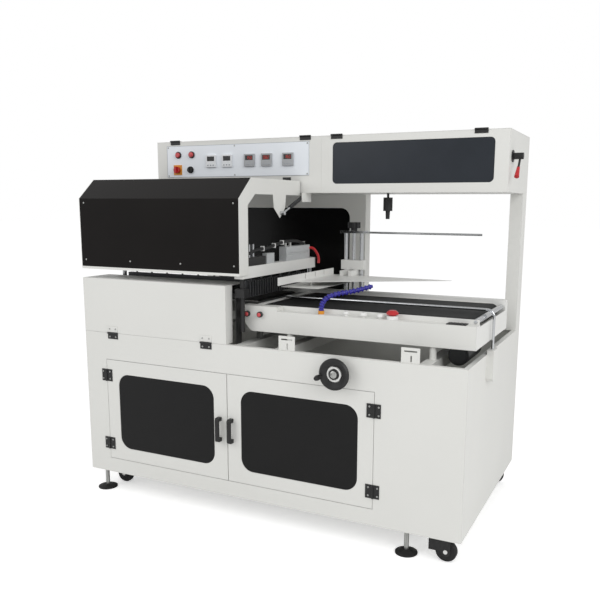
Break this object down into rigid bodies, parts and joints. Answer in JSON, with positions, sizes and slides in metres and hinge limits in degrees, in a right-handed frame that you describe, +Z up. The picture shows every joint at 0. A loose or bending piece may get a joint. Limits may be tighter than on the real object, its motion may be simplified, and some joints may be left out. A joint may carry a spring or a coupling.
{
  "type": "l bar sealer",
  "caption": "Wheeled shrink-wrap cabinet with a height-adjustable belt, an L-shaped sealing jaw under a flip-up guard, a film head and an overhead control box.",
  "frame": {"origin": "on the floor under the middle of the bounding box", "axes": "+X to the infeed end on the right, +Y to the back, +Z up; the doors face -Y"},
  "size_m": [1.6403, 1.01, 1.49],
  "materials": {
    "body_white": "satin",
    "frame_white": "satin",
    "guard_dark": "gloss",
    "window_dark": "gloss",
    "fitting_black": "satin",
    "steel": "brushed",
    "chrome": "polished",
    "aluminium": "satin",
    "pad_rubber": "matte",
    "wheel_rubber": "matte",
    "belt_black": "matte",
    "motor_black": "satin",
    "hose_blue": "gloss",
    "button_red": "gloss",
    "button_orange": "gloss",
    "lever_red": "gloss",
    "panel_plate": "satin",
    "controller_black": "satin"
  },
  "bodies": {
    "frame": {"front_panel": "body_white", "cabinet_panels": "body_white", "lift_frame": "frame_white", "upper_housing": "body_white", "hinge_leaves": "fitting_black", "base_hardware": "steel", "levelling_pads": "pad_rubber", "rear_frame": "body_white", "fixed_windows": "window_dark", "control_box": "body_white", "beam_box": "body_white", "control_plate": "panel_plate", "panel_fittings": "controller_black", "lower_jaw": "steel", "guide_rods": "chrome", "rim_tabs": "body_white", "cable_fittings": "fitting_black", "film_stand": "chrome"},
    "guard": {"guard_shell": "guard_dark", "guard_frame": "body_white"},
    "spring_tube": {"gas_spring_cylinder": "motor_black"},
    "spring_rod": {"gas_spring_rod": "chrome"},
    "left_door": {"door_left": "body_white", "door_left_window": "window_dark", "door_left_fittings": "fitting_black"},
    "right_door": {"door_right": "body_white", "door_right_window": "window_dark", "door_right_fittings": "fitting_black"},
    "flap": {"front_flap": "body_white"},
    "control_box_lid": {"control_lid": "body_white"},
    "beam_box_lid": {"beam_lid": "body_white"},
    "jaw": {"upper_jaw": "frame_white", "jaw_clamp": "aluminium", "jaw_hardware": "steel"},
    "conveyor": {"conveyor_front_cover": "body_white", "conveyor_frame": "frame_white", "infeed_belt": "belt_black", "outfeed_belt": "belt_black", "drive_motor": "motor_black", "channel_fittings": "fitting_black", "air_hose": "hose_blue"},
    "height_wheel": {"handwheel": "fitting_black"},
    "drive_roller": {"infeed_drive_roller": "steel"},
    "nose_roller": {"infeed_nose_roller": "steel"},
    "small_roller": {"transfer_roller": "chrome"},
    "stop": {"stop_button": "button_red"},
    "inverting_head": {"film_head": "steel"},
    "spindle": {"film_spindle": "steel"},
    "tension_lever": {"ratchet_lever": "lever_red"},
    "start": {"start_button": "button_red"},
    "isolator": {"main_switch": "button_orange"},
    "selector": {"selector_switch": "fitting_black"},
    "caster_front_left": {"caster_fork_front_left": "steel"},
    "wheel_front_left": {"caster_wheel_front_left": "wheel_rubber"},
    "caster_rear_left": {"caster_fork_rear_left": "steel"},
    "wheel_rear_left": {"caster_wheel_rear_left": "wheel_rubber"},
    "caster_front_right": {"caster_fork_front_right": "steel"},
    "wheel_front_right": {"caster_wheel_front_right": "wheel_rubber"},
    "caster_rear_right": {"caster_fork_rear_right": "steel"},
    "wheel_rear_right": {"caster_wheel_rear_right": "wheel_rubber"}
  },
  "joints": [
    {"name": "guard_lift", "type": "hinge", "parent": "frame", "child": "guard", "pos_m": [-0.444, 0.0745, 1.306], "axis": [-1, 0, 0], "range_deg": [0, 60]},
    {"name": "spring_swing", "type": "hinge", "parent": "frame", "child": "spring_tube", "pos_m": [-0.056, 0.062, 1.238], "axis": [-1, 0, 0], "range_deg": [0, 61]},
    {"name": "spring_stroke", "type": "slide", "parent": "spring_tube", "child": "spring_rod", "axis": [0, -0.9339, -0.3574], "range_m": [0, 0.072]},
    {"name": "left_door_swing", "type": "hinge", "parent": "frame", "child": "left_door", "pos_m": [-0.715, -0.4165, 0.368], "axis": [0, 0, -1], "range_deg": [0, 110]},
    {"name": "right_door_swing", "type": "hinge", "parent": "frame", "child": "right_door", "pos_m": [0.463, -0.4165, 0.368], "axis": [0, 0, 1], "range_deg": [0, 110]},
    {"name": "flap_tilt", "type": "hinge", "parent": "frame", "child": "flap", "pos_m": [-0.448, -0.4165, 0.692], "axis": [1, 0, 0], "range_deg": [0, 100]},
    {"name": "control_lid_lift", "type": "hinge", "parent": "frame", "child": "control_box_lid", "pos_m": [-0.373, 0.0745, 1.4865], "axis": [1, 0, 0], "range_deg": [0, 95]},
    {"name": "beam_lid_lift", "type": "hinge", "parent": "frame", "child": "beam_box_lid", "pos_m": [0.384, 0.0745, 1.4865], "axis": [1, 0, 0], "range_deg": [0, 95]},
    {"name": "jaw_stroke", "type": "slide", "parent": "frame", "child": "jaw", "axis": [0, 0, 1], "range_m": [-0.028, 0.04]},
    {"name": "conveyor_height", "type": "slide", "parent": "frame", "child": "conveyor", "axis": [0, 0, 1], "range_m": [-0.04, 0]},
    {"name": "height_wheel_turn", "type": "hinge", "parent": "frame", "child": "height_wheel", "pos_m": [0.327, -0.443, 0.636], "axis": [0, 1, 0], "range_deg": [-1440, 0]},
    {"name": "drive_roller_turn", "type": "hinge", "parent": "conveyor", "child": "drive_roller", "pos_m": [0.7287, -0.064, 0.8107], "axis": [0, 1, 0], "continuous": true},
    {"name": "nose_roller_turn", "type": "hinge", "parent": "conveyor", "child": "nose_roller", "pos_m": [-0.0257, -0.064, 0.8107], "axis": [0, 1, 0], "continuous": true},
    {"name": "small_roller_turn", "type": "hinge", "parent": "conveyor", "child": "small_roller", "pos_m": [0.765, -0.064, 0.8247], "axis": [0, 1, 0], "continuous": true},
    {"name": "stop_press", "type": "slide", "parent": "conveyor", "child": "stop", "axis": [0, 0, -1], "range_m": [0, 0.004], "stiffness_N_per_m": 800},
    {"name": "head_height", "type": "slide", "parent": "frame", "child": "inverting_head", "axis": [0, 0, 1], "range_m": [-0.015, 0.06]},
    {"name": "spindle_turn", "type": "hinge", "parent": "frame", "child": "spindle", "pos_m": [0.109, 0.237, 1.118], "axis": [0, 0, 1], "range_deg": [-1081, 4322]},
    {"name": "lever_turn", "type": "hinge", "parent": "frame", "child": "tension_lever", "pos_m": [0.8, 0.134, 1.389], "axis": [1, 0, 0], "range_deg": [-40, 40]},
    {"name": "start_press", "type": "slide", "parent": "frame", "child": "start", "axis": [0, 1, 0], "range_m": [0, 0.003], "stiffness_N_per_m": 600},
    {"name": "isolator_turn", "type": "hinge", "parent": "frame", "child": "isolator", "pos_m": [-0.688, 0.067, 1.361], "axis": [0, 1, 0], "range_deg": [0, 90]},
    {"name": "selector_turn", "type": "hinge", "parent": "frame", "child": "selector", "pos_m": [-0.618, 0.067, 1.361], "axis": [0, 1, 0], "range_deg": [-45, 45]},
    {"name": "caster_front_left_swivel", "type": "hinge", "parent": "frame", "child": "caster_front_left", "pos_m": [-0.714, -0.283, 0.085], "axis": [0, 0, 1], "continuous": true},
    {"name": "wheel_front_left_roll", "type": "hinge", "parent": "caster_front_left", "child": "wheel_front_left", "pos_m": [-0.749, -0.283, 0.0375], "axis": [0, 1, 0], "continuous": true},
    {"name": "caster_rear_left_swivel", "type": "hinge", "parent": "frame", "child": "caster_rear_left", "pos_m": [-0.714, 0.357, 0.085], "axis": [0, 0, 1], "continuous": true},
    {"name": "wheel_rear_left_roll", "type": "hinge", "parent": "caster_rear_left", "child": "wheel_rear_left", "pos_m": [-0.749, 0.357, 0.0375], "axis": [0, 1, 0], "continuous": true},
    {"name": "caster_front_right_swivel", "type": "hinge", "parent": "frame", "child": "caster_front_right", "pos_m": [0.6845, -0.363, 0.085], "axis": [0, 0, 1], "continuous": true},
    {"name": "wheel_front_right_roll", "type": "hinge", "parent": "caster_front_right", "child": "wheel_front_right", "pos_m": [0.7195, -0.363, 0.0375], "axis": [0, 1, 0], "continuous": true},
    {"name": "caster_rear_right_swivel", "type": "hinge", "parent": "frame", "child": "caster_rear_right", "pos_m": [0.6845, 0.437, 0.085], "axis": [0, 0, 1], "continuous": true},
    {"name": "wheel_rear_right_roll", "type": "hinge", "parent": "caster_rear_right", "child": "wheel_rear_right", "pos_m": [0.7195, 0.437, 0.0375], "axis": [0, 1, 0], "continuous": true}
  ],
  "couplings": [
    {"joint": "spring_swing", "follows": "guard_lift", "ratio": 1.005},
    {"joint": "spring_stroke", "follows": "guard_lift", "m_per_rad": 0.066},
    {"joint": "height_wheel_turn", "follows": "conveyor_height", "rad_per_m": 628},
    {"joint": "nose_roller_turn", "follows": "drive_roller_turn", "ratio": 1},
    {"joint": "spindle_turn", "follows": "head_height", "rad_per_m": 1257}
  ]
}
